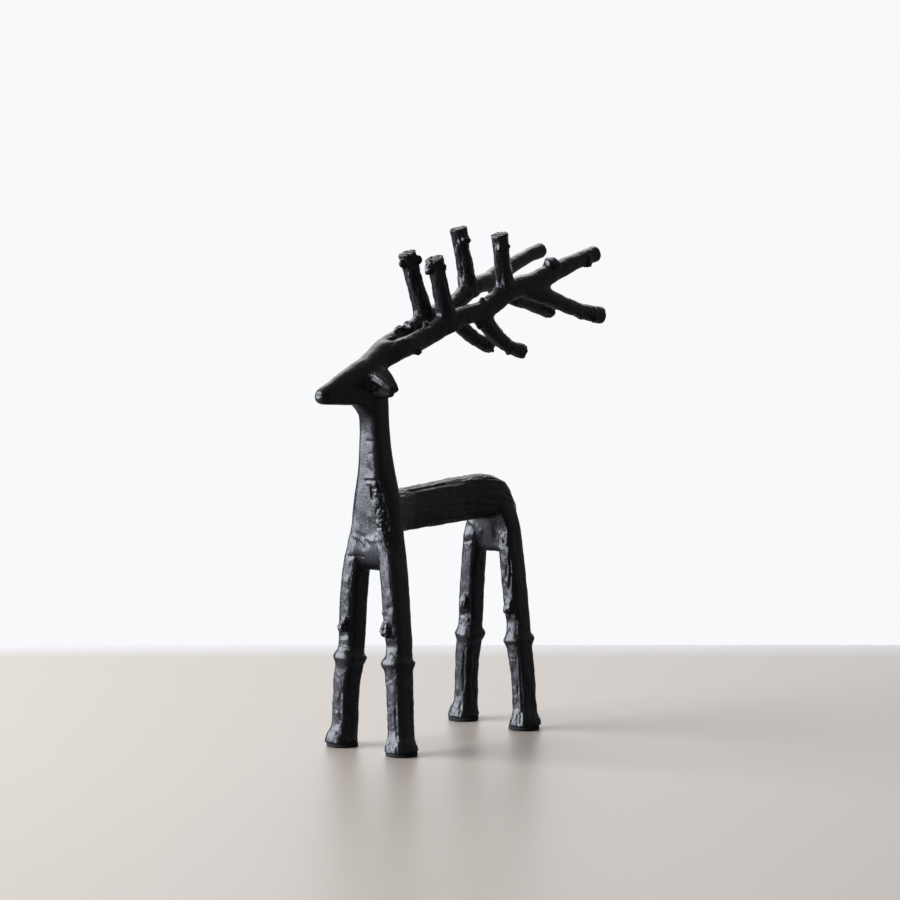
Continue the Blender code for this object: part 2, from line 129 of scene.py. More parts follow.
# The left (1) and the right (-1) antler, and how high the bark lines are on each part, in mm.
antlerLines = dict(beam=0.05, lowerFork=0.10, hangingTine=0.16, frontUpright=0.22, rearUpright=0.20)
antlers = {
    1: dict(
        beam=[
            (2.6, -46.0, 193.6, 7.0, 8.0), (5.0, -33.0, 200.2, 9.2, 10.4), (5.7, -21.5, 203.3, 9.2, 10.2),
            (6.5, -10.0, 207.2, 9.2, 10.0), (7.6, 0.5, 212.2, 9.8, 10.8), (8.7, 12.0, 215.4, 9.4, 9.8),
            (10.2, 25.0, 217.7, 9.6, 9.8), (11.4, 34.0, 221.6, 9.8, 10.6), (12.6, 42.5, 226.8, 10.0, 10.8),
            (13.6, 52.0, 229.2, 9.8, 11.0), (14.9, 61.5, 230.4, 9.6, 12.0), (16.0, 69.5, 233.8, 9.2, 10.8),
            (17.0, 84.5, 238.6, 8.6, 9.0), (18.0, 98.5, 242.6, 8.2, 8.2), (18.7, 108.8, 244.8, 8.6, 8.8)],
        lowerFork=[
            (13.8, 53.0, 227.4, 7.6, 7.4), (14.9, 61.4, 226.2, 8.4, 9.6), (15.9, 70.5, 223.8, 8.4, 9.4),
            (16.5, 83.0, 219.4, 8.0, 8.0), (17.1, 99.0, 214.9, 8.0, 8.0), (17.8, 114.4, 211.9, 8.8, 9.4)],
        hangingTine=[
            (10.2, 20.0, 217.0, 7.0, 7.0), (10.8, 27.5, 212.0, 8.2, 9.6), (11.0, 33.5, 206.6, 8.0, 8.2),
            (11.0, 40.5, 201.6, 7.8, 7.6), (11.1, 48.5, 197.8, 7.4, 6.9), (11.3, 57.6, 195.2, 7.8, 7.8)],
        frontUpright=[
            (7.6, 2.6, 208.0, 10.6, 14.6), (7.8, 1.2, 214.0, 9.8, 11.4), (8.0, -0.8, 221.0, 8.8, 9.4),
            (8.4, -5.6, 233.5, 8.0, 8.4), (9.0, -8.8, 242.4, 8.4, 8.8), (9.1, -10.2, 245.4, 10.0, 10.2)],
        rearUpright=[
            (12.6, 42.4, 223.0, 9.6, 12.4), (12.7, 41.6, 229.0, 9.0, 10.4), (12.9, 40.2, 236.0, 8.4, 9.0),
            (13.3, 37.4, 247.0, 8.0, 8.4), (13.7, 35.8, 253.8, 8.2, 8.6), (13.8, 35.0, 256.8, 9.0, 9.2)]),
    -1: dict(
        beam=[
            (2.6, -46.0, 193.6, 7.0, 8.0), (5.0, -33.0, 200.4, 9.2, 10.4), (5.7, -21.5, 203.8, 9.2, 11.2),
            (6.5, -10.0, 207.6, 9.2, 10.6), (7.6, 0.5, 212.6, 9.6, 9.8), (8.7, 12.0, 216.4, 9.4, 9.2),
            (10.2, 25.0, 218.8, 9.4, 9.4), (11.4, 34.0, 222.8, 9.4, 9.2), (12.6, 42.5, 227.3, 9.4, 9.4),
            (13.6, 52.0, 229.8, 9.2, 9.4), (14.9, 61.5, 231.0, 9.2, 9.8), (16.0, 69.5, 234.2, 8.6, 9.4),
            (17.0, 84.5, 239.0, 7.8, 8.0), (18.0, 98.5, 243.5, 7.6, 7.4), (18.8, 109.4, 245.8, 8.2, 8.4)],
        lowerFork=[
            (15.0, 62.0, 229.5, 7.0, 7.0), (15.9, 70.5, 225.6, 8.0, 8.6), (16.5, 83.0, 221.7, 7.8, 8.4),
            (17.1, 99.0, 217.6, 7.6, 7.8), (17.8, 116.2, 212.9, 8.2, 8.2)],
        hangingTine=[
            (10.2, 20.0, 218.0, 7.0, 7.0), (10.8, 27.5, 214.2, 8.2, 8.6), (11.0, 33.5, 209.2, 8.0, 7.8),
            (11.0, 40.5, 204.3, 7.8, 7.4), (11.1, 48.5, 200.4, 7.6, 7.2), (11.3, 57.8, 197.2, 8.0, 7.8)],
        frontUpright=[
            (7.6, 2.6, 208.0, 10.6, 14.6), (7.8, 1.2, 215.0, 9.8, 11.6), (8.0, -0.8, 222.0, 8.8, 9.6),
            (8.4, -5.6, 234.0, 8.0, 8.4), (9.0, -9.0, 244.6, 8.4, 8.8), (9.1, -10.2, 247.8, 10.0, 10.2)],
        rearUpright=[
            (12.6, 42.4, 223.0, 9.6, 12.4), (12.7, 41.6, 230.0, 9.0, 10.4), (12.9, 40.2, 237.0, 8.4, 9.0),
            (13.3, 37.4, 248.0, 8.0, 8.4), (13.7, 35.8, 256.0, 8.2, 8.6), (13.8, 35.0, 259.2, 9.0, 9.2)]),
}


def smallLimbs(hand):
    # knees, buds and ear of the left (1) or the right (-1) side
    plain = dict(lines=0.08, lumps=0.12)
    smooth = dict(lines=0.04, lumps=0.08)
    rough = dict(lines=0.2, lumps=0.3)
    parts = [
        dict(shape=soft, bark=plain, stations=[        # front knee
            (15.6, -44.6, 54.5, 9.0, 11.4), (15.9, -45.0, 51.0, 9.8, 12.3), (16.1, -45.4, 48.4, 11.1, 14.0),
            (16.2, -45.7, kneeUp + 0.5, 14.0, 16.6), (16.3, -45.7, kneeUp - 0.8, 13.8, 16.4),
            (16.8, -46.0, 41.0, 10.8, 13.6), (17.3, -46.2, 37.0, 9.6, 12.4)]),
        dict(shape=soft, bark=plain, stations=[        # hind knee
            (15.9, 48.3, 55.5, 8.6, 11.0), (16.2, 48.1, 52.0, 9.5, 12.1), (16.4, 48.0, 49.5, 10.7, 13.3),
            (16.6, 48.1, kneeUp + 1.5, 13.4, 15.4), (16.7, 48.1, kneeUp + 0.2, 13.2, 15.2),
            (17.3, 48.1, 41.6, 10.2, 12.6), (17.9, 48.3, 37.5, 9.0, 11.6)]),
        dict(shape=oval, bark=smooth, side=(0.2, 0.7, 0.7), stations=[   # ear: its upper half
            (2.0, -48.8, 190.6, 11.6, 7.0), (6.0, -49.2, 189.9, 10.2, 6.6), (10.0, -49.8, 188.4, 8.6, 6.2),
            (14.0, -50.4, 186.0, 7.0, 5.6), (17.2, -50.6, 183.6, 5.2, 4.6), (19.4, -51.0, 181.5, 3.6, 3.6)]),
        dict(shape=square, bark=smooth, side=(0, 0.2, 1), stations=[     # its front edge, a flat ridge
            (4.0, -52.6, 189.4, 4.0, 5.8), (8.6, -53.1, 187.6, 5.0, 6.2), (13.6, -53.0, 185.2, 4.8, 5.6),
            (19.0, -52.4, 182.4, 3.4, 4.2)]),
        dict(shape=oval, bark=smooth, side=(0, -0.45, 1), stations=[     # its lower lobe
            (3.0, -51.4, 182.0, 8.6, 6.4), (8.0, -51.0, 181.8, 9.6, 5.0), (13.0, -51.0, 181.4, 7.8, 4.2),
            (17.4, -51.4, 181.0, 5.0, 3.4)]),
        dict(shape=square, bark=plain, stations=[      # inner corner of the hind arch
            (11.2, 47.9, 87.0, 3.6, 9.0), (10.0, 48.1, 91.4, 4.6, 8.4), (6.8, 48.2, 94.8, 4.6, 8.0),
            (2.5, 48.2, 96.4, 3.6, 7.6)]),
    ]
    stubs = [(14.1 - 0.4 * hand, -50.8, 62.0), (15.2 + 0.4 * hand, 42.4, 63.5)]
    for x, y, z in stubs:        # the cut-off twigs above the knees
        parts.append(dict(shape=soft, bark=rough, stations=[
            (x + 0.4, y + 1.0, z + 6.4, 3.8, 3.0), (x, y - 0.2, z + 3.4, 5.0, 4.0),
            (x, y - 1.2, z - 0.2, 5.4, 5.0), (x, y - 1.4, z - 2.8, 4.6, 4.2)]))
    return [dict(part, hand=hand) for part in parts]


# Scars and side buds: x, y, z and diameter, in mm.
knotUneven = 0.5             # how far a lump strays from round, as a share of its radius
knotWaves = 0.45             # how coarse its unevenness is, as a share of its diameter
knots = [
    (8.0, -12.8, 240.0, 5.2), (12.4, -7.4, 240.6, 3.8), (7.9, -12.7, 243.8, 3.6),        # left front tine
    (-9.5, -12.6, 242.3, 4.6), (-5.1, -7.1, 244.4, 4.8), (-5.4, -13.6, 209.8, 8.0),      # right front tine
    (-4.8, -20.3, 209.2, 5.0), (4.6, -11.6, 211.6, 4.0),
    (-9.6, 36.2, 252.9, 4.8), (-10.5, 33.8, 251.7, 3.2),                                 # right rear tine
    (15.6, 33.3, 249.6, 3.4), (17.4, 36.8, 249.8, 3.6),                                  # left rear tine
    (16.5, 73.8, 239.4, 8.6), (20.6, 99.3, 240.1, 4.2), (19.0, 102.5, 239.6, 3.8),       # left fork
    (21.8, 98.9, 243.1, 3.0), (19.2, 94.9, 212.6, 4.4), (20.3, 105.6, 210.4, 4.4),
    (-13.6, 107.1, 215.1, 3.4), (-13.8, 112.2, 212.9, 4.4), (-14.6, 82.4, 218.0, 3.0),   # right fork
    (11.9, 45.5, 195.5, 3.0), (-8.3, 50.2, 197.2, 3.4), (-8.1, 55.4, 195.8, 3.6),        # hanging tines
    (6.6, -54.2, 185.6, 4.2), (6.2, -54.6, 188.2, 3.6), (5.9, -57.0, 185.4, 3.4),        # ear roots
    (6.1, -55.8, 183.8, 3.2), (-6.6, -54.2, 185.6, 4.2), (-5.9, -57.0, 185.4, 3.4),
    (10.9, 24.8, 222.6, 3.4), (11.4, 22.8, 209.8, 3.6), (9.0, -22.8, 199.2, 4.0),
]

# x, y, z and radius of the spots smoothed more, in mm: where an ear meets an antler, and the head's top.
earSpots = [(7.0, -50.6, 193.0, 4.0), (7.4, -46.6, 192.6, 3.6), (6.6, -44.0, 200.0, 4.0)]
softSpots = [(0, -62.0, 193.0, 7.0), (0, -55.0, 196.0, 6.0)]
softSpots += [(hand * x, y, z, radius) for hand in (1, -1) for x, y, z, radius in earSpots]

# x, y, z, radius and height of the patches with a knobbly skin, in mm.
roughReach = 2               # a patch has faded out this many radii away
roughSpots = [
    (6.2, -50.4, 131.0, 3.0, 0.50), (10.0, -49.6, 114.0, 3.8, 0.42), (13.4, -49.6, 107.0, 2.8, 0.34),
    (8.4, -50.2, 121.0, 2.6, 0.40),
    (16.6, -52.0, 38.0, 3.4, 0.24), (-16.6, -52.0, 38.0, 3.4, 0.14), (17.6, -51.0, 20.0, 9.0, 0.10),
    (-17.6, -51.0, 20.0, 9.0, 0.10), (14.0, -50.5, 70.0, 9.0, 0.06),
    (-14.0, -50.5, 72.0, 9.0, 0.06), (13.7, -53.0, 61.5, 3.0, 0.5), (-14.5, -53.0, 61.5, 3.0, 0.5),
    (15.6, 40.4, 63.0, 3.0, 0.5), (-14.8, 40.4, 63.0, 3.0, 0.5),
    (13.6, 42.0, 84.0, 4.6, 0.06), (16.8, 42.0, 38.0, 3.6, 0.14), (18.8, 43.0, 20.0, 9.0, 0.08),
    (11.4, 41.0, 98.0, 4.4, 0.34), (-10.0, 41.0, 96.0, 3.4, 0.24), (6.6, -54.6, 187.6, 3.2, 0.36),
    (20.5, -53.0, 6.0, 4.0, 0.12), (21.0, 43.0, 6.0, 4.0, 0.10), (-5.4, -17.0, 209.0, 4.4, 0.22),
    (-9.0, 45.0, 201.0, 5.0, 0.34), (-9.0, 54.0, 198.0, 5.0, 0.40), (-14.0, 90.0, 219.0, 6.0, 0.16),
    (-14.0, 103.0, 215.5, 6.0, 0.20), (-14.0, 112.0, 213.0, 5.0, 0.26), (14.0, 44.0, 199.0, 5.0, 0.26),
    (14.0, 54.0, 195.5, 5.0, 0.36), (20.0, 100.0, 241.0, 4.4, 0.30), (20.6, 104.0, 212.0, 5.0, 0.26),
    (9.1, -10.4, 247.0, 4.6, 0.36), (-9.1, -10.4, 249.4, 4.6, 0.36),      # the uprights' cut tops
    (13.8, 35.0, 258.4, 4.6, 0.36), (-13.8, 35.0, 260.6, 4.6, 0.36),
]

# Marks worked into the surface: points along the mark, its width and how far it stands out, in mm. A helper
# script worked most of the points out from places picked by eye, so this table was not written by hand.
markDepth = 0.7              # the share of that height which is used
markReach = 3                # a mark has faded out this many widths away
marks = [
    # chest and neck: cracks, folds and the knobbly patches
    ([(0.8, -51.1, 156), (4.8, -50.4, 155.9)], 0.6, -0.4),
    ([(1.7, -51.1, 149.4), (5, -50.5, 149.9)], 0.6, -0.25),
    ([(0.9, -51, 142.9), (2.6, -50.9, 140.9)], 0.8, -0.3),
    ([(-0.3, -50.9, 136.2), (4, -50.8, 136.2), (7.9, -49.1, 137.4)], 0.6, -0.8),
    ([(-0.5, -50.9, 137.4), (4.6, -50.8, 137.6)], 0.8, 0.3),
    ([(3.1, -50.8, 132.4), (3.8, -50.6, 127.4)], 0.9, -1.2),
    ([(0.9, -50.7, 133.6), (2.8, -50.8, 132.4)], 0.7, -0.5),
    ([(6.3, -50.4, 136.1), (8.3, -50, 131.2), (9.1, -50, 125.9)], 0.7, -0.6),
    ([(1.7, -50.8, 134.9)], 1.2, 0.4), ([(5.6, -50.7, 133.9), (6.7, -50.6, 130.4)], 1.1, 0.5),
    ([(6.9, -50.5, 126.9)], 1.3, 0.5),
    ([(6.8, -50.5, 122.6), (5.1, -50.3, 116.1), (6.6, -50.1, 109.4), (10.2, -50.2, 105.1)], 1.0, -0.5),
    ([(8.4, -50.4, 120.6)], 1.4, 0.4), ([(10.6, -49.8, 116.5)], 1.2, -0.4),
    ([(7, -50.1, 115.5)], 1.3, 0.35), ([(10, -49.9, 112.5)], 1.4, -0.4), ([(12.8, -48.7, 111.2)], 1.3, 0.5),
    ([(12.1, -49, 113.7)], 1.0, -0.4), ([(10.2, -50.1, 108.6)], 1.2, 0.4), ([(13.4, -48.9, 107)], 1.3, 0.5),
    ([(12.3, -49.9, 105.2)], 0.9, -0.4),
    ([(-7.7, -50.1, 109.2), (-4, -50.3, 108.1), (-0.7, -50.2, 107.6)], 0.8, -0.45),
    ([(-8.4, -50.2, 107.7), (-5, -50.3, 106.4), (-2.5, -50.4, 104.4)], 1.0, 0.55),
    ([(-7, -50.2, 106.2), (-4, -50.3, 104.3), (-2.8, -50.6, 101.9)], 0.8, -0.55),
    ([(-0.7, -50.2, 107.4), (2.2, -50.3, 106.2), (7.9, -50.2, 107.2)], 0.9, 0.5),
    ([(-1.6, -50.3, 105.9), (0.8, -50.3, 104.3)], 0.8, -0.4),
    ([(4.1, -50.2, 104.6), (9.5, -50.4, 102.9)], 3.0, 0.6), ([(-7.6, -50.6, 101.5)], 3.0, 0.5),
    ([(10.6, -50.8, 133), (12, -50.7, 122), (13.6, -49.9, 114), (14.6, -50.1, 106)], 4.4, -2.4),
    ([(-9.6, -49.9, 114.1), (-9.5, -49.8, 111.9)], 0.6, -0.35), ([(-4.1, -50.1, 114.3)], 1.0, 0.2),
    ([(1, -50.5, 118.5)], 1.0, 0.2),
    ([(-11.2, -50.9, 97.1), (-7.6, -50.7, 97.9), (-3.4, -50, 97.5)], 0.8, -0.8),
    ([(-8.4, -50.9, 95.9)], 1.3, 0.7),
    # front legs: hollows beside the buds, grooves down the shanks
    ([(-11.7, -53.9, 62.1)], 2.0, -1.7), ([(-14.8, -51.7, 59)], 1.6, -1.2),
    ([(-18.4, -51, 56.4), (-11.5, -50.8, 57.1)], 1.4, -0.9),
    ([(-16.2, -52.5, 28.6), (-16.4, -52.8, 24.8), (-16.2, -52.6, 14.1)], 0.8, -0.6),
    ([(-14.6, -52.3, 26.5), (-15.1, -52.1, 15.7)], 0.8, 0.35), ([(-19.1, -52.8, 17.6)], 1.5, 0.4),
    ([(-18.6, -52.7, 12)], 1.2, -0.4), ([(-16.6, -53.9, 7.4)], 1.0, -0.4),
    ([(-20.7, -52.7, 19), (-17.2, -52.6, 18.6)], 0.6, -0.3), ([(11.1, -50.8, 70.8)], 1.2, 0.9),
    ([(13.1, -51.3, 70.1)], 0.9, -0.6), ([(17.6, -53, 64)], 1.8, -1.5), ([(15.9, -52.7, 66.1)], 1.0, -0.8),
    ([(18.9, -51.2, 59.1)], 1.4, -0.9), ([(17, -52.9, 41.5)], 2.2, 0.5), ([(19.3, -53, 43.4)], 0.7, -0.5),
    ([(19.2, -52.7, 40.3)], 0.7, -0.5), ([(20, -52.4, 38.4)], 1.2, -0.3),
    ([(20.5, -52.3, 36.5), (20.8, -52.5, 26.1), (21.5, -52.8, 11.1)], 0.7, -0.5),
    ([(21.8, -52, 26.1), (22.8, -53, 9.8)], 0.7, 0.35), ([(21.3, -54.5, 8), (21.6, -55.2, 6.2)], 0.9, -0.7),
    ([(16.9, -54.1, 7.4)], 2.0, 0.4), ([(18.8, -54.8, 9.5), (18.2, -55.9, 3.6)], 1.0, -0.5),
    ([(11.3, -50.9, 69.9)], 1.0, -0.4), ([(16.9, -51, 81.7), (17.6, -51.2, 78.1)], 1.6, 0.5),
    ([(16.2, -51.4, 74.2)], 1.6, -0.6), ([(-11.3, -51.5, 80.7), (-9.8, -50.9, 80.7)], 0.8, -0.3),
    ([(-12.9, -51.4, 84.3)], 2.2, 0.3), ([(-10.8, -50.9, 92), (-11, -51.3, 82.9)], 0.7, -0.3),
    ([(-10.8, -51.5, 78.4), (-10.9, -50.9, 69.3)], 0.7, -0.35),
    ([(12.5, -51, 54.6), (18.5, -51, 54.6)], 2.3, -1.1),
    # hind legs
    ([(13, 42.2, 55.6), (19, 42.2, 55.6)], 2.2, -1.0),
    ([(-18.5, 42.2, 56.2), (-12.5, 42.2, 56.2)], 2.0, -0.9),
    ([(-13.8, 41, 95.6), (-10.1, 41, 96.8), (-7.9, 41.5, 97.5)], 0.9, -0.8), ([(-9.4, 41, 94.6)], 1.3, 0.7),
    ([(-12.6, 40.8, 99.2), (-6.4, 42.4, 100.2)], 3.2, 1.2),
    ([(-9.8, 40.9, 106.4), (-6.7, 41.2, 104.2), (-3.6, 41.8, 102)], 1.1, 0.8),
    ([(2.2, 42.2, 102.2)], 3.4, 0.6), ([(9.8, 40.6, 103)], 5.6, -3.2), ([(7.4, 41.6, 101.6)], 1.6, 0.6),
    ([(10.7, 40.9, 97.8)], 1.3, 0.6), ([(8.9, 41.3, 94.8)], 1.2, 0.6), ([(13.8, 40.9, 97.3)], 1.1, 0.5),
    ([(-11.8, 39.5, 62.6)], 1.8, -1.4), ([(-17.2, 41.9, 57), (-12.4, 42.5, 58.2)], 1.3, -0.9),
    ([(-12.8, 42.4, 54.1), (-12.5, 41.3, 46.2)], 0.7, -0.5),
    ([(-15.2, 42.1, 39.3), (-16.3, 42.7, 26.9), (-17.3, 43.3, 16.1)], 0.8, -0.6),
    ([(-13.4, 42.7, 39.4), (-16.1, 43.8, 16.2)], 0.7, 0.4), ([(-20.5, 43.3, 16.6)], 1.6, 0.5),
    ([(-20.9, 43.2, 12.9)], 1.0, -0.4), ([(-18.3, 42.6, 9.6), (-17.5, 40.9, 3.4)], 0.8, -0.4),
    ([(13.1, 41.2, 91.2), (14.8, 41, 85.8), (13.9, 40.9, 78.9)], 0.6, -1.0),
    ([(16, 41.4, 90.2), (16.7, 41.2, 81.2), (15.8, 41.7, 73.6)], 0.7, -1.1),
    ([(14.8, 41.2, 92.6), (15.7, 41.2, 84.3), (14.7, 41.3, 75)], 0.6, 0.6),
    ([(11.6, 41.3, 92), (12.3, 41.2, 84), (12.6, 41.3, 76)], 0.7, -0.6), ([(13.6, 41.2, 69.7)], 1.0, -0.5),
    ([(16.4, 41.8, 59.5)], 1.5, -1.2), ([(14.1, 41.9, 57.2), (19, 42.3, 56.9)], 1.2, -0.7),
    ([(15.3, 41.1, 69.5), (17.6, 41.4, 68.8)], 0.9, 0.4),
    ([(19.4, 42.3, 55.3), (19.9, 41.2, 48.7)], 0.9, -0.4), ([(17.4, 41.7, 42.4)], 1.8, 0.5),
    ([(20.5, 41.6, 42.3)], 0.9, 0.4), ([(15.6, 41.4, 44.2), (21.4, 41.8, 44.8)], 1.0, -0.5),
    ([(20, 42, 38.2), (20.3, 42.6, 26.9), (20.9, 42.8, 10.9)], 0.6, -0.5),
    ([(21.8, 42.6, 36.7), (22.4, 43.1, 23.1), (23.5, 43.1, 10.4)], 0.6, -0.5),
    ([(17.4, 42.3, 34.7), (17.8, 43.1, 22.6)], 0.6, -0.35),
    ([(20.9, 41.9, 7.8), (21.5, 40.6, 3.2)], 0.7, -0.5),
    ([(22.7, 42.3, 8.8), (23.7, 41.1, 4.2)], 0.7, -0.4), ([(27.2, 51.8, 5.2)], 1.6, 0.7),
    # body: bark edges along the back
    ([(1.5, 32.7, 132.2)], 1.0, 0.7),
    ([(4.9, 27.8, 131.3), (6.3, 31.3, 130), (7.2, 37, 129.4), (6, 43.7, 129.9)], 0.8, -0.5),
    ([(3.5, 30.1, 131.9), (5.8, 33, 130.6), (6.9, 37.5, 130.1)], 0.8, 0.45),
    ([(-0.3, -2.3, 130.8)], 1.2, 0.5),
    ([(4.5, -24.5, 128.9), (4.3, -11.2, 129.8), (4.7, 3.8, 130.2), (4.3, 17.7, 131.2)], 0.7, -0.35),
    ([(4, -21.7, 129.5), (3.6, -8.2, 130.3), (3.6, 4, 130.8)], 0.7, 0.35),
    ([(5.8, -21.6, 127.6), (5.9, -15.2, 127.4), (6.1, -8.8, 127.7)], 0.7, -0.3),
    ([(3.8, 18.4, 131.5), (3.7, 27.6, 131.8)], 0.7, -0.3),
    ([(6.9, -9.8, 122), (7.2, 7.6, 122), (7.4, 18.6, 121.8)], 1.0, 0.25),
    ([(7, -14.3, 119.5), (7.2, 3.2, 119.4)], 1.0, -0.25),
    ([(7.4, 9.7, 117.4), (7.7, 25.1, 117.6)], 1.0, -0.25),
    ([(6.7, -2.9, 114.1), (6.9, 14.7, 114.7)], 1.0, 0.25),
    ([(6.3, -30.9, 125.2), (6.3, -24.4, 125.4)], 2.0, 0.4),
    # head: mouth, ear root and crown
    ([(-2.4, -85.6, 180.6), (1.8, -85.8, 180.4), (3.4, -84.2, 180.2)], 0.65, -0.75),
    ([(3.9, -83.4, 180.4)], 1.0, -1.5), ([(2.8, -83.3, 177.3), (2.9, -75.2, 176.3)], 0.8, -0.2),
    ([(5, -49.6, 197.8), (5.1, -51.2, 196.3), (6.2, -49.6, 195.2)], 0.8, -0.3),
    ([(6.9, -49, 195.9)], 1.0, 0.35), ([(6.1, -55.2, 190.5), (6.6, -53.5, 188.7)], 1.3, 0.5),
    ([(6.3, -55.1, 185.2), (8.3, -53.3, 185.1)], 1.0, 0.4), ([(6.4, -54.9, 187.4)], 0.9, -0.3),
    ([(6.1, -54, 179.7), (5.6, -53.1, 177.8)], 1.2, 0.6),
    ([(6.3, -54.8, 182.4), (7.4, -53.7, 181.8)], 1.0, -0.5),
    ([(14.3, -48, 182.9), (14.8, -47.5, 180.6)], 0.7, -0.5),
    ([(8.3, -52.7, 187.6), (14, -48.4, 182)], 1.1, 0.35),
    ([(-0.6, -36.7, 206), (-2.7, -29.5, 206.5)], 1.0, 0.4),
    ([(-2.9, -28.6, 206.9), (4.4, -37.1, 205.3)], 0.8, -0.5),
    ([(4.7, -36.8, 205.2), (7.1, -33.7, 205.1), (8.1, -28.7, 205.9)], 0.9, 0.35),
    # antlers: cut ends, pits and ridges
    ([(9.3, -14.5, 242.8), (12.2, -13.1, 242.9), (13.3, -8.6, 243.1)], 0.9, -0.45),
    ([(9.3, -11, 236.2), (8.9, -8, 227.8), (8.8, -6, 222.7)], 1.0, 0.25),
    ([(8.6, -5.7, 221.8), (9.6, -4.3, 217.6), (9.8, -5.8, 214.3)], 1.2, 0.5),
    ([(11.6, -3.5, 221), (11.1, -3.4, 215.1)], 1.2, -0.4),
    ([(-9.1, -14, 244.9), (-5.2, -12.1, 245.5)], 0.8, -0.4),
    ([(-7.6, -10.7, 236.6), (-7.2, -8, 228.9), (-7.9, -5.3, 220.4)], 0.8, 0.4),
    ([(-5.4, -9.4, 236.6), (-5.7, -7.2, 229)], 0.8, -0.35),
    ([(-13.6, 33.7, 246.2), (-12.9, 35.6, 237.5), (-13, 36.4, 231.5)], 1.2, 0.4),
    ([(-11.1, 34.1, 246.2), (-11, 36, 237.6)], 0.8, -0.4),
    ([(13.4, 33.3, 246.8), (12.4, 35.1, 238.2), (11.1, 36.6, 231.3)], 1.3, 0.5),
    ([(15.6, 34.3, 245.1), (13.8, 36.5, 232.3)], 0.8, -0.35),
    ([(11.2, 36.5, 230.5), (9.9, 35.2, 228.4)], 1.2, 0.5),
    ([(-13.7, 105.1, 216.7), (-14.1, 105.6, 213.6), (-14.3, 109.4, 212.1)], 0.8, 0.4),
    ([(-13.7, 110, 213.9)], 1.0, -0.5),
    ([(-12.9, 90, 220), (-13.3, 97.5, 217.9), (-13.6, 102.1, 216)], 0.8, -0.5),
    ([(20.8, 99.3, 213.3)], 1.3, -0.5), ([(20.6, 96.1, 213.9), (18.6, 99.3, 211)], 0.7, -0.4),
    ([(21.4, 106.3, 213.5)], 2.2, 0.4), ([(21.5, 96.1, 242.7), (21.5, 96.1, 240.9)], 0.7, -0.5),
    ([(21.4, 102.6, 241.6)], 1.0, -0.5), ([(13.7, 46.8, 195.9), (10.9, 50.8, 193.4)], 0.7, -0.5),
    ([(-9.4, 48.2, 197), (-7.4, 51.9, 198.7)], 0.8, -0.5),
    ([(8, -38.5, 200.8), (10.1, -25.9, 201.1)], 1.2, 0.3),
    ([(8.9, -23.2, 206.7), (9.3, -14.8, 209.7)], 1.0, -0.3),
    ([(-3.6, -25.4, 208), (-5, -16.2, 210.9)], 1.0, -0.7),
    ([(-3.5, -19.2, 209.4), (-2.9, -12.3, 210.8)], 0.9, 0.5),
    ([(12.7, 1.8, 214.1), (12.8, 11.9, 212.8)], 1.0, -0.3), ([(17.9, 77.6, 241)], 0.8, -0.5),
    ([(12.2, 12.8, 219.5), (12.4, 22.9, 221.7)], 1.2, 0.3),
]


def smoothStations(limb):
    # Catmull-Rom curve through the stations, every number of them alike
    rows = np.array([(*station, limb["shape"])[:6] for station in limb["stations"]], float)
    rows = np.vstack([2 * rows[0] - rows[1], rows, 2 * rows[-1] - rows[-2]])
    curve = []
    for a, b, c, d in zip(rows, rows[1:], rows[2:], rows[3:]):
        cuts = max(2, round(float(np.linalg.norm((c - b)[:3])) / casting["stationStep"]))
        for t in np.arange(cuts) / cuts:
            cubic = 2 * a - 5 * b + 4 * c - d + t * (3 * (b - c) + d - a)
            curve.append(b + 0.5 * t * (c - a + t * cubic))
    return np.array(curve + [rows[-2]])


def spineOf(limb):
    # the limb's centre line with its own axes at every section, in mm
    curve = smoothStations(limb)
    hand = limb.get("hand", 1)
    curve[:, 0] *= hand
    places = curve[:, :3]
    along = np.gradient(places, axis=0)
    along /= np.linalg.norm(along, axis=1)[:, None]
    side = np.array(limb.get("side", (1, 0, 0)), float) * (hand, 1, 1)
    side = side - along * (along @ side)[:, None]
    side /= np.linalg.norm(side, axis=1)[:, None]
    steps = np.linalg.norm(np.diff(places, axis=0), axis=1)
    return dict(places=places, along=along, side=side, through=np.cross(along, side),
                halfAcross=curve[:, 3] / 2, halfDeep=curve[:, 4] / 2, shape=curve[:, 5],
                reach=np.concatenate([[0], np.cumsum(steps)]))


def wrapLimb(bm, limb):
    # a rod bent and swollen along the limb's centre line
    spine = limb["spine"]
    levels = len(spine["places"]) - 1
    rod = bmesh.new()
    bmesh.ops.create_cone(rod, cap_ends=True, segments=casting["rodSides"], radius1=1, radius2=1, depth=1)
    uprights = [edge for edge in rod.edges if edge.verts[0].co.z != edge.verts[1].co.z]
    bmesh.ops.subdivide_edges(rod, edges=uprights, cuts=levels - 1, use_grid_fill=True)
    for vert in rod.verts:
        level = round((vert.co.z + 0.5) * levels)
        power = 2 / spine["shape"][level]
        across = math.copysign(abs(vert.co.x) ** power, vert.co.x) * spine["halfAcross"][level]
        deep = math.copysign(abs(vert.co.y) ** power, vert.co.y) * spine["halfDeep"][level]
        place = spine["places"][level] + spine["side"][level] * across + spine["through"][level] * deep
        vert.co = place * mm
    if limb.get("hand", 1) < 0:
        bmesh.ops.reverse_faces(rod, faces=rod.faces)
    mesh = bpy.data.meshes.new("limb")
    rod.to_mesh(mesh)
    rod.free()
    bm.from_mesh(mesh)
    bpy.data.meshes.remove(mesh)


def linked(name, bm):
    mesh = bpy.data.meshes.new(name)
    bm.to_mesh(mesh)
    bm.free()
    piece = bpy.data.objects.new(name, mesh)
    bpy.context.scene.collection.objects.link(piece)
    return piece


def applyModifiers(piece):
    depsgraph = bpy.context.evaluated_depsgraph_get()
    mesh = bpy.data.meshes.new_from_object(piece.evaluated_get(depsgraph))
    old = piece.data
    piece.modifiers.clear()
    piece.data = mesh
    bpy.data.meshes.remove(old)


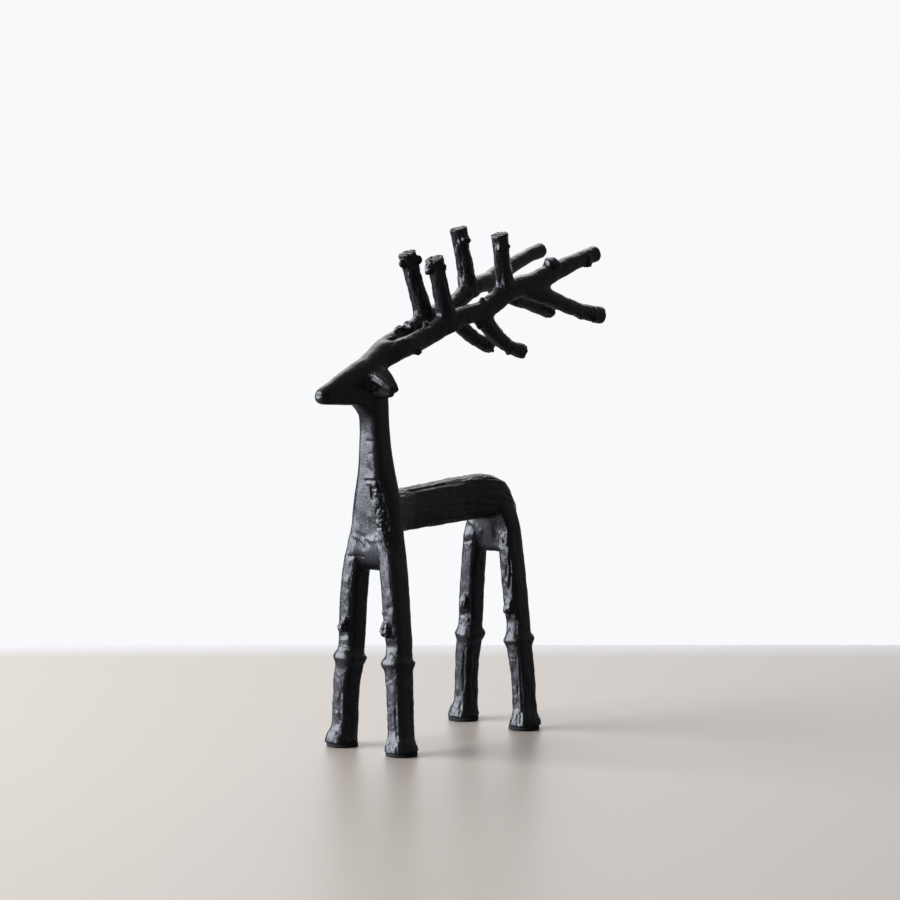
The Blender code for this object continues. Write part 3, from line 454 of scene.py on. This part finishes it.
def fuse(piece, grid):
    skin = piece.modifiers.new("fuse", "REMESH")
    skin.mode = "VOXEL"
    skin.voxel_size = grid * mm
    applyModifiers(piece)


def readVerts(mesh):
    places = np.empty(len(mesh.vertices) * 3, np.float32)
    mesh.vertices.foreach_get("co", places)
    return places.reshape(-1, 3) / mm - (0, feetMiddle / mm, 0)


def readNormals(mesh):
    normals = np.empty(len(mesh.vertices) * 3, np.float32)
    mesh.vertex_normals.foreach_get("vector", normals)
    return normals.reshape(-1, 3).astype(float)


def writeVerts(mesh, places):
    mesh.vertices.foreach_set("co", ((places + (0, feetMiddle / mm, 0)) * mm).astype(np.float32).ravel())
    mesh.update()


def neighbourMean(mesh):
    # a function that averages the values of each vertex's neighbours
    ends = np.empty(len(mesh.edges) * 2, np.int32)
    mesh.edges.foreach_get("vertices", ends)
    first, last = ends.reshape(-1, 2).T
    total = len(mesh.vertices)
    count = np.bincount(first, minlength=total) + np.bincount(last, minlength=total)

    def mean(values):
        return np.stack([(np.bincount(first, values[last, axis], total)
                          + np.bincount(last, values[first, axis], total)) / count
                         for axis in range(values.shape[1])], axis=1)
    return mean


def fillCorners(mesh, grid, radius, passes):
    # inner corners tighter than the radius grow outwards, as moulding sand leaves them
    mean = neighbourMean(mesh)
    places = readVerts(mesh)
    allowed = grid ** 2 / (4 * radius(places))
    for turn in range(passes):
        normals = readNormals(mesh)
        outward = ((mean(places) - places) * normals).sum(axis=1)
        places += normals * np.maximum(outward - allowed, 0)[:, None]
        writeVerts(mesh, places)


def bigFillets(places):
    antlers = np.where(places[:, 1] > casting["forksFrom"], casting["forkFillet"], casting["antlerFillet"])
    return np.where(places[:, 2] > casting["antlersFrom"], antlers, casting["trunkFillet"])


def smoothAll(mesh, passes):
    mean = neighbourMean(mesh)
    places = readVerts(mesh)
    for turn in range(passes):
        places += (mean(places) - places) * casting["ease"]
    writeVerts(mesh, places)


def smoothSpots(mesh, spots, passes):
    # more smoothing that fades out around each spot: x, y, z and radius, in mm
    mean = neighbourMean(mesh)
    places = readVerts(mesh)
    share = np.zeros(len(places))
    for x, y, z, radius in spots:
        gap = np.linalg.norm(places - (x, y, z), axis=1)
        share = np.maximum(share, np.exp(-(gap / radius) ** 2))
    for turn in range(passes):
        places += (mean(places) - places) * casting["ease"] * share[:, None]
    writeVerts(mesh, places)


def sectionPlace(limb, points):
    # for points near a limb: gap to its surface, how far along and how far round, all in mm
    spine = limb["spine"]
    centres = spine["places"]
    nearest = np.empty(len(points), int)
    batch = 20000                # points at a time, to save memory
    for start in range(0, len(points), batch):
        some = points[start:start + batch]
        far = (centres ** 2).sum(axis=1) - 2 * some @ centres.T
        nearest[start:start + batch] = far.argmin(axis=1)
    off = points - centres[nearest]
    across = (off * spine["side"][nearest]).sum(axis=1)
    deep = (off * spine["through"][nearest]).sum(axis=1)
    halfAcross, halfDeep, shape = (spine[key][nearest] for key in ("halfAcross", "halfDeep", "shape"))
    share = (np.abs(across / halfAcross) ** shape + np.abs(deep / halfDeep) ** shape) ** (1 / shape)
    along = spine["reach"][nearest] + (off * spine["along"][nearest]).sum(axis=1)
    beyond = np.maximum(np.maximum(-along, along - spine["reach"][-1]), 0)
    gap = np.hypot((share - 1) * np.minimum(halfAcross, halfDeep), beyond)
    around = np.arctan2(deep / halfDeep, across / halfAcross)
    girth = (halfAcross + halfDeep) / 2
    return gap, along, np.cos(around) * girth, np.sin(around) * girth


bark = dict(
    lineWidth=1.2,           # the lines that run along a limb, in mm
    lineLength=7.0,
    lumpSize=6.0,
    knobSize=1.5,
    gain=2,                  # how much the noise is magnified
    fractal=(0.9, 2.1, 3),   # how fast finer noise fades, how much finer it gets, and how often
    reach=2.5,               # how far from a limb's surface its bark holds
    searchMargin=3,
    blend=0.15,              # how sharply one limb's bark gives way to the next one's
    shankTop=38.0,           # the legs' lines are stronger below this height
    shankFade=6,
    limbStep=17.3,           # keeps the noise of two limbs apart
    lumpStep=50,             # keeps lumps and lines apart
    paintStep=31.7,          # keeps the paint of two limbs apart
)


def noiseAt(points):
    return np.array([noise.fractal(point, *bark["fractal"]) for point in points.tolist()])


def withinBox(points, inside, margin):
    # which points are in the box round some places, or no further than the margin outside it
    low, high = inside.min(axis=0) - margin, inside.max(axis=0) + margin
    return np.flatnonzero(((points > low) & (points < high)).all(axis=1))


def nearLimb(limb, points):
    # the points close to a limb, with their gap, run along and turn round it
    centres = limb["spine"]["places"]
    widest = max(limb["spine"]["halfAcross"].max(), limb["spine"]["halfDeep"].max()) + bark["searchMargin"]
    near = withinBox(points, centres, widest)
    found = sectionPlace(limb, points[near])
    on = found[0] < bark["reach"]
    return [near[on]] + [values[on] for values in found]


def barkRelief(limbs, points):
    # heights of a bark-like skin that runs along each limb and blends where limbs meet
    total = np.full(len(points), 1e-6)
    height = np.zeros(len(points))
    for number, limb in enumerate(limbs):
        near, gap, along, turnA, turnB = nearLimb(limb, points)
        skin = limb["bark"]
        seed = number * bark["limbStep"]
        lines = noiseAt(np.stack([turnA / bark["lineWidth"], turnB / bark["lineWidth"],
                                  along / skin.get("length", bark["lineLength"]) + seed], axis=1))
        lumps = noiseAt(np.stack([turnA / bark["lumpSize"], turnB / bark["lumpSize"],
                                  along / bark["lumpSize"] + seed + bark["lumpStep"]], axis=1))
        weight = 1 / (bark["blend"] + gap ** 2)
        belowTop = np.clip((bark["shankTop"] - points[near, 2]) / bark["shankFade"], 0, 1)
        lineHeight = skin["lines"] + belowTop * skin.get("shank", 0)
        height[near] += weight * (lines * lineHeight + lumps * skin["lumps"]) * bark["gain"]
        total[near] += weight
    return height / total


def markRelief(points):
    height = np.zeros(len(points))
    for path, width, rise in marks:
        path = np.array(path, float)
        near = withinBox(points, path, markReach * width)
        some = points[near]
        gap = np.linalg.norm(some - path[0], axis=1)
        for a, b in zip(path, path[1:]):
            step = b - a
            share = np.clip((some - a) @ step / (step @ step), 0, 1)
            gap = np.minimum(gap, np.linalg.norm(some - a - share[:, None] * step, axis=1))
        height[near] += markDepth * rise * np.exp(-(gap / width) ** 2)
    return height


def roughRelief(points):
    height = np.zeros(len(points))
    for x, y, z, radius, rise in roughSpots:
        gap = np.linalg.norm(points - (x, y, z), axis=1)
        near = np.flatnonzero(gap < roughReach * radius)
        lumps = noiseAt(points[near] / bark["knobSize"])
        height[near] += bark["gain"] * rise * lumps * np.exp(-(gap[near] / radius) ** 2)
    return height


bigLimbs = trunk + [dict(leg, hand=hand) for hand in (1, -1) for leg in (frontLeg, hindLeg)]
bigLimbs += [dict(shape=oval, bark=dict(lines=antlerLines[name], lumps=0.14), stations=stations, hand=hand)
             for hand, runs in antlers.items() for name, stations in runs.items()]
littleLimbs = smallLimbs(1) + smallLimbs(-1)
allLimbs = bigLimbs + littleLimbs
for limb in allLimbs:
    limb["spine"] = spineOf(limb)


def skinRelief(points):
    return barkRelief(allLimbs, points) + markRelief(points) + roughRelief(points)


bm = bmesh.new()
for limb in bigLimbs:
    wrapLimb(bm, limb)
bmesh.ops.translate(bm, verts=bm.verts, vec=(0, feetMiddle, 0))
deer = linked("reindeer", bm)
fuse(deer, casting["firstGrid"])
fillCorners(deer.data, casting["firstGrid"], bigFillets, casting["bigPasses"])
print("big limbs:", len(bigLimbs), "fused,", len(deer.data.vertices), "vertices")

bm = bmesh.new()
for limb in littleLimbs:
    wrapLimb(bm, limb)
for x, y, z, size in knots:      # uneven lumps, never quite round
    place = Matrix.Translation(Vector((x, y, z)) * mm)
    lump = bmesh.ops.create_icosphere(bm, subdivisions=3, radius=size / 2 * mm, matrix=place)["verts"]
    for vert in lump:
        off = vert.co - place.translation
        vert.co += off * noise.noise(vert.co / (size * knotWaves * mm)) * knotUneven
bmesh.ops.translate(bm, verts=bm.verts, vec=(0, feetMiddle, 0))
bm.from_mesh(deer.data)
bm.to_mesh(deer.data)
bm.free()
fuse(deer, casting["fineGrid"])
fillCorners(deer.data, casting["fineGrid"],
            lambda places: np.full(len(places), casting["smallFillet"]), casting["smallPasses"])
smoothAll(deer.data, casting["evenPasses"])
smoothSpots(deer.data, softSpots, casting["softPasses"])
print("small parts fused,", len(deer.data.vertices), "vertices")

places = readVerts(deer.data)
relief = skinRelief(places)
writeVerts(deer.data, places + readNormals(deer.data) * relief[:, None])
print("bark relief from", round(relief.min(), 2), "to", round(relief.max(), 2), "mm")

thin = deer.modifiers.new("thin", "DECIMATE")
thin.ratio = casting["triangles"] / (2 * len(deer.data.polygons))
applyModifiers(deer)

bm = bmesh.new()
bm.from_mesh(deer.data)
soleUp = padTop + casting["hoofGap"] * mm
bmesh.ops.bisect_plane(bm, geom=bm.verts[:] + bm.edges[:] + bm.faces[:], dist=1e-7,
                       plane_co=(0, 0, soleUp), plane_no=(0, 0, 1), clear_inner=True)
rims = [edge for edge in bm.edges if edge.is_boundary]
soles = bmesh.ops.holes_fill(bm, edges=rims, sides=0)["faces"]
bmesh.ops.triangulate(bm, faces=[face for face in bm.faces if len(face.verts) > 4])
bm.to_mesh(deer.data)
bm.free()
deer.data.shade_smooth()

# What the paint follows: each point's turn round and run along its limb, how far it stands out, both in mm,
# and how strong the fine bark lines are on its limb. How far it stands out sets the paint's painted shade and
# painted highlight.
places = readVerts(deer.data)
barkPlace = np.zeros((len(places), 3))
closest = np.full(len(places), np.inf)
streaky = np.ones(len(places))
for number, limb in enumerate(allLimbs):
    near, gap, along, turnA, turnB = nearLimb(limb, places)
    nearer = gap < closest[near]
    near = near[nearer]
    closest[near] = gap[nearer]
    barkPlace[near] = np.stack([turnA, turnB, along + number * bark["paintStep"]], axis=1)[nearer]
    streaky[near] = limb["bark"].get("streaks", 1)
raised = skinRelief(places)
deer.data.attributes.new("bark_place", "FLOAT_VECTOR", "POINT").data.foreach_set(
    "vector", barkPlace.astype(np.float32).ravel())
for name, values in (("streaky", streaky), ("raised", raised)):
    deer.data.attributes.new(name, "FLOAT", "POINT").data.foreach_set("value", values.astype(np.float32))
print("soles cut:", len(soles), "triangles", len(deer.data.polygons))


def linear(hexColour):
    channels = [int(hexColour[i:i + 2], 16) / 255 for i in (1, 3, 5)]
    return tuple(c / 12.92 if c <= 0.04045 else ((c + 0.055) / 1.055) ** 2.4 for c in channels) + (1,)


def addNode(tree, kind, settings=None, inputs=None, links=None):
    # a node with its settings, its input values and what feeds it
    node = tree.nodes.new("ShaderNode" + kind)
    for name, value in (settings or {}).items():
        setattr(node, name, value)
    for name, value in (inputs or {}).items():
        node.inputs[name].default_value = value
    for name, source in (links or {}).items():
        tree.links.new(source, node.inputs[name])
    return node


def addRange(tree, value, source, target=(0, 1)):
    # spreads the values of one range over another, and stops at its ends
    spread = addNode(tree, "MapRange", inputs={"From Min": source[0], "From Max": source[1],
                                               "To Min": target[0], "To Max": target[1]},
                     links={"Value": value})
    return spread.outputs["Result"]


def addRamp(tree, factor, low, high):
    # one colour to another, as the factor goes from 0 to 1
    ramp = addNode(tree, "ValToRGB", links={"Fac": factor})
    ramp.color_ramp.elements[0].color = linear(low)
    ramp.color_ramp.elements[1].color = linear(high)
    return ramp.outputs["Color"]


def newMaterial(name):
    material = bpy.data.materials.new(name)
    material.use_nodes = True
    material.node_tree.nodes.clear()
    return material, material.node_tree


# Satin black enamel sprayed over sand-cast aluminium. The sand's grain and the bark of the pattern show
# through the paint, which is thicker and glossier in some places. Painted shade and painted highlight: the
# colour is darker where the skin is sunk and a little greyer where it stands out.
enamelLook = dict(
    low="#0b0b0d", high="#17171a",
    smooth=0.22, dull=0.34,  # roughness
    streakWidth=0.8,         # fine bark lines, in mm
    streakLength=7.0,
    grain=1.0,               # sand grain in mm: 0.3 in truth, drawn coarser so that it shows
    skin=3.5,
    pits=2.4,                # spacing of the pits
    pitWall=(0.05, 0.18),    # from its bottom to its rim, as shares of the spacing
    patches=11.0,            # size of the glossier and duller patches
    patchRange=(0.32, 0.66), # noise values of the glossiest and the dullest paint
    paintedShadeRange=(-0.15, 0.3),  # how far the skin stands out, in mm, where the painted shade is darkest and the painted highlight greyest
    streakTone=0.5,          # how much the fine lines add to that
    # strength and depth in mm
    bumps=dict(skin=(0.3, 0.2), streaks=(0.6, 0.34), pits=(0.4, 0.16), grain=(0.35, 0.2)),
)
enamel, tree = newMaterial("satin_black_enamel_on_sand_cast_aluminium")
spot = addNode(tree, "TexCoord").outputs["Object"]
barkSpot = addNode(tree, "Attribute", {"attribute_name": "bark_place"}).outputs["Vector"]
streakyBy = addNode(tree, "Attribute", {"attribute_name": "streaky"}).outputs["Fac"]
raisedBy = addNode(tree, "Attribute", {"attribute_name": "raised"}).outputs["Fac"]
perMm = (1 / enamelLook["streakWidth"], 1 / enamelLook["streakWidth"], 1 / enamelLook["streakLength"])
drawnOut = addNode(tree, "VectorMath", {"operation": "MULTIPLY"}, {1: perMm}, {0: barkSpot})
streaks = addNode(tree, "TexNoise", inputs={"Scale": 1, "Detail": 3, "Roughness": 0.6},
                  links={"Vector": drawnOut.outputs[0]})
perMetre = {name: 1 / (enamelLook[name] * mm) for name in ("grain", "skin", "pits", "patches")}
grain = addNode(tree, "TexNoise", inputs={"Scale": perMetre["grain"], "Detail": 3, "Roughness": 0.65},
                links={"Vector": spot})
skin = addNode(tree, "TexNoise", inputs={"Scale": perMetre["skin"], "Detail": 2}, links={"Vector": spot})
patches = addNode(tree, "TexNoise", inputs={"Scale": perMetre["patches"], "Detail": 3},
                  links={"Vector": spot})
cells = addNode(tree, "TexVoronoi", inputs={"Scale": perMetre["pits"]}, links={"Vector": spot})
pits = addRange(tree, cells.outputs["Distance"], enamelLook["pitWall"])
streakHeight = addNode(tree, "Math", {"operation": "MULTIPLY"},
                       links={0: streaks.outputs["Fac"], 1: streakyBy})
heights = dict(skin=skin.outputs["Fac"], streaks=streakHeight.outputs[0], pits=pits,
               grain=grain.outputs["Fac"])
bump = None
for name, (strength, depth) in enamelLook["bumps"].items():
    below = {"Normal": bump.outputs["Normal"]} if bump else {}
    bump = addNode(tree, "Bump", inputs={"Strength": strength, "Distance": depth * mm},
                   links={"Height": heights[name], **below})
gloss = addRange(tree, patches.outputs["Fac"], enamelLook["patchRange"],
                 (enamelLook["smooth"], enamelLook["dull"]))
# painted shade and painted highlight: darker where the skin is sunk, greyer where it stands out
paintedShade = addRange(tree, raisedBy, enamelLook["paintedShadeRange"])
tone = addNode(tree, "Math", {"operation": "MULTIPLY_ADD"}, {1: enamelLook["streakTone"]},
               {0: streaks.outputs["Fac"], 2: paintedShade})
colour = addRamp(tree, tone.outputs[0], enamelLook["low"], enamelLook["high"])
shader = addNode(tree, "BsdfPrincipled", inputs={"IOR": 1.4},
                 links={"Base Color": colour, "Roughness": gloss, "Normal": bump.outputs["Normal"]})
addNode(tree, "OutputMaterial", links={"Surface": shader.outputs["BSDF"]})
deer.data.materials.clear()
deer.data.materials.append(enamel)

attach(deer, "root")
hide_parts("reindeer_casting")

# Self-adhesive discs of closed-cell foam rubber, cut from a sheet: dull, with fine cells on the cut edge.
pads = dict(
    rim=0.35,                # rounding where the disc meets the table, in mm
    bulge=0.06,              # how far the weight on it makes the edge stand out
    film=0.25,               # adhesive film on top
    filmIn=0.18,             # the film ends short of the foam
    steps=96,
    waviness=0.10,
    waveSize=3.0,
    cells=0.5,               # foam cells in mm: 0.2 in truth, drawn coarser so that they show
    cellBump=(0.7, 0.12),    # strength, and depth in mm
    mottle=2.0,              # size of the lighter and darker spots, in mm
    smooth=0.72, dull=0.95,  # roughness
    low="#080808", high="#141414",
)
rubber, tree = newMaterial("black_closed_cell_foam_rubber")
spot = addNode(tree, "TexCoord").outputs["Object"]
cells = addNode(tree, "TexVoronoi", inputs={"Scale": 1 / (pads["cells"] * mm)}, links={"Vector": spot})
mottle = addNode(tree, "TexNoise", inputs={"Scale": 1 / (pads["mottle"] * mm), "Detail": 4},
                 links={"Vector": spot})
colour = addRamp(tree, mottle.outputs["Fac"], pads["low"], pads["high"])
strength, depth = pads["cellBump"]
cellBump = addNode(tree, "Bump", inputs={"Strength": strength, "Distance": depth * mm},
                   links={"Height": cells.outputs["Distance"]})
dull = addRange(tree, mottle.outputs["Fac"], (0, 1), (pads["smooth"], pads["dull"]))
shader = addNode(tree, "BsdfPrincipled", inputs={"IOR": 1.5, "Specular IOR Level": 0.3},
                 links={"Base Color": colour, "Roughness": dull, "Normal": cellBump.outputs["Normal"]})
addNode(tree, "OutputMaterial", links={"Surface": shader.outputs["BSDF"]})

for spotName, (low, high) in padBoxes.items():
    radius, thick = (high.x - low.x) / 2 / mm, (high.z - low.z) / mm
    foamTop = thick - pads["film"]
    rim, filmEdge = pads["rim"], radius - pads["filmIn"]
    # the disc's outline, how far out and how far up, in mm
    edge = [(0, 0), (radius * 0.5, 0), (radius - rim * 1.6, 0), (radius - rim, 0.02),
            (radius - rim * 0.3, rim * 0.3), (radius, rim), (radius + pads["bulge"], foamTop * 0.5),
            (radius, foamTop - 0.12), (radius - 0.08, foamTop - 0.03),
            (radius - pads["filmIn"] * 1.4, foamTop), (filmEdge, foamTop + 0.03),
            (filmEdge, thick - 0.04), (filmEdge - 0.06, thick), (radius * 0.5, thick), (0, thick)]
    bm = bmesh.new()
    corners = [bm.verts.new(Vector((out, 0, up)) * mm) for out, up in edge]
    for a, b in zip(corners, corners[1:]):
        bm.edges.new((a, b))
    bmesh.ops.spin(bm, geom=bm.verts[:] + bm.edges[:], cent=(0, 0, 0), axis=(0, 0, 1), angle=math.tau,
                   steps=pads["steps"], use_merge=True)
    bmesh.ops.remove_doubles(bm, verts=bm.verts, dist=1e-6)
    bmesh.ops.recalc_face_normals(bm, faces=bm.faces)
    middle = Vector(((low.x + high.x) / 2, (low.y + high.y) / 2, 0))
    bmesh.ops.translate(bm, verts=bm.verts, vec=middle + Vector((0, 0, low.z)))
    for vert in bm.verts:        # the cut edge isn't quite true
        out = Vector((vert.co.x - middle.x, vert.co.y - middle.y, 0))
        if out.length > radius * 0.9 * mm:
            wave = noise.noise(vert.co / (pads["waveSize"] * mm)) * pads["waviness"]
            vert.co += out.normalized() * wave * mm
    pad = linked("pad_" + spotName, bm)
    pad.data.shade_smooth()
    pad.data.materials.append(rubber)
    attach(pad, "root")
    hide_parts(padNames[spotName])
print("pads made:", len(padBoxes))


camera = dict(
    place=(1.05549, -1.23259, 0.30408),
    heading=0.7092872,       # radians from +Y towards -X, seen from above
    dip=0.0968026,           # radians below level
    lens=127.5,
    sensor=36,
)
data = bpy.data.cameras.new("camera")
data.lens = camera["lens"]
data.sensor_width = camera["sensor"]
viewer = bpy.data.objects.new("camera", data)
viewer.location = camera["place"]
viewer.rotation_euler = (math.pi / 2 - camera["dip"], 0, camera["heading"])
bpy.context.scene.collection.objects.link(viewer)
bpy.context.scene.camera = viewer

studio = dict(
    tableBehind=0.287,       # from the deer to the table's far edge
    tableFront=0.55,
    tableWidth=0.92,
    tableThick=0.03,
    tableFade=0.045,         # the far edge grows white over this distance
    tableColour="#978d82",
    farColour="#aeaeae",
    mirrorColour="#58595b",  # the table as the deer's paint shows it
    tableRough=0.4,
    aimHeight=0.13,          # the lights point at this height
    window=dict(turn=-42, height=0.62, away=1.5, size=(1.5, 1.4), power=107, colour="#eef3ff"),
    skylight=dict(turn=-123, height=1.2, away=1.05, size=(1.2, 0.8), power=5.0, colour="#ffffff"),
    backdrop=dict(turn=221, height=1.1, away=2.2, size=(2.6, 2.6), power=29, colour="#ffffff"),
    roomTowards=(0.1, 0.75, 0.5),     # the room is lighter this way, at its back and its ceiling
    roomFrom=-0.7, roomTo=0.9,
    roomDim=0.04, roomBright=0.22,
    seenColour="#f8f9fb",    # the wall behind
)
turned = Matrix.Rotation(camera["heading"], 4, "Z")
bm = bmesh.new()
bmesh.ops.create_cube(bm, size=1)
depth = studio["tableBehind"] + studio["tableFront"]
bmesh.ops.scale(bm, verts=bm.verts, vec=(studio["tableWidth"], depth, studio["tableThick"]))
bmesh.ops.translate(bm, verts=bm.verts,
                    vec=(0, studio["tableBehind"] - depth / 2, -studio["tableThick"] / 2))
bmesh.ops.transform(bm, verts=bm.verts, matrix=turned)
table = linked("table", bm)
paint, tree = newMaterial("pale_satin_table")
spot = addNode(tree, "TexCoord").outputs["Object"]
awayDirection = (-math.sin(camera["heading"]), math.cos(camera["heading"]), 0)
away = addNode(tree, "VectorMath", {"operation": "DOT_PRODUCT"}, {1: awayDirection}, {0: spot})
fade = addRange(tree, away.outputs["Value"],
                (studio["tableBehind"] - studio["tableFade"], studio["tableBehind"]))
pale = addRamp(tree, fade, studio["tableColour"], studio["farColour"])
mirrored = addNode(tree, "LightPath").outputs["Is Glossy Ray"]
seen = addNode(tree, "BsdfPrincipled", inputs={"Roughness": studio["tableRough"]}, links={"Base Color": pale})
reflected = addNode(tree, "BsdfPrincipled", inputs={"Base Color": linear(studio["mirrorColour"]),
                                                    "Roughness": studio["tableRough"]})
blend = addNode(tree, "MixShader",
                links={0: mirrored, 1: seen.outputs["BSDF"], 2: reflected.outputs["BSDF"]})
addNode(tree, "OutputMaterial", links={"Surface": blend.outputs["Shader"]})
table.data.materials.append(paint)


def addSoftbox(name, turn, height, away, size, power, colour):
    # turn: degrees from -Y towards +X, seen from above
    light = bpy.data.lights.new(name, "AREA")
    light.shape = "RECTANGLE"
    light.size, light.size_y = size
    light.energy = power
    light.color = linear(colour)[:3]
    lamp = bpy.data.objects.new(name, light)
    angle = math.radians(turn)
    lamp.location = (math.sin(angle) * away, -math.cos(angle) * away, height)
    aim = Vector((0, 0, studio["aimHeight"])) - lamp.location
    lamp.rotation_euler = aim.to_track_quat("-Z", "Y").to_euler()
    lamp.visible_camera = False
    bpy.context.scene.collection.objects.link(lamp)


for name in ("window", "backdrop", "skylight"):
    addSoftbox(name, **studio[name])

world = bpy.data.worlds.new("room")
bpy.context.scene.world = world
world.use_nodes = True
tree = world.node_tree
tree.nodes.clear()
ray = addNode(tree, "LightPath")
lean = addNode(tree, "VectorMath", {"operation": "DOT_PRODUCT"}, {1: studio["roomTowards"]},
               {0: addNode(tree, "TexCoord").outputs["Generated"]})
level = addRange(tree, lean.outputs["Value"], (studio["roomFrom"], studio["roomTo"]),
                 (studio["roomDim"], studio["roomBright"]))
dim = addNode(tree, "Background", inputs={"Color": linear("#ffffff")}, links={"Strength": level})
bright = addNode(tree, "Background", inputs={"Color": linear(studio["seenColour"]), "Strength": 1.0})
mix = addNode(tree, "MixShader",
              links={0: ray.outputs["Is Camera Ray"], 1: dim.outputs[0], 2: bright.outputs[0]})
addNode(tree, "OutputWorld", links={"Surface": mix.outputs[0]})
bpy.context.scene.view_settings.view_transform = "Standard"
print("studio set")
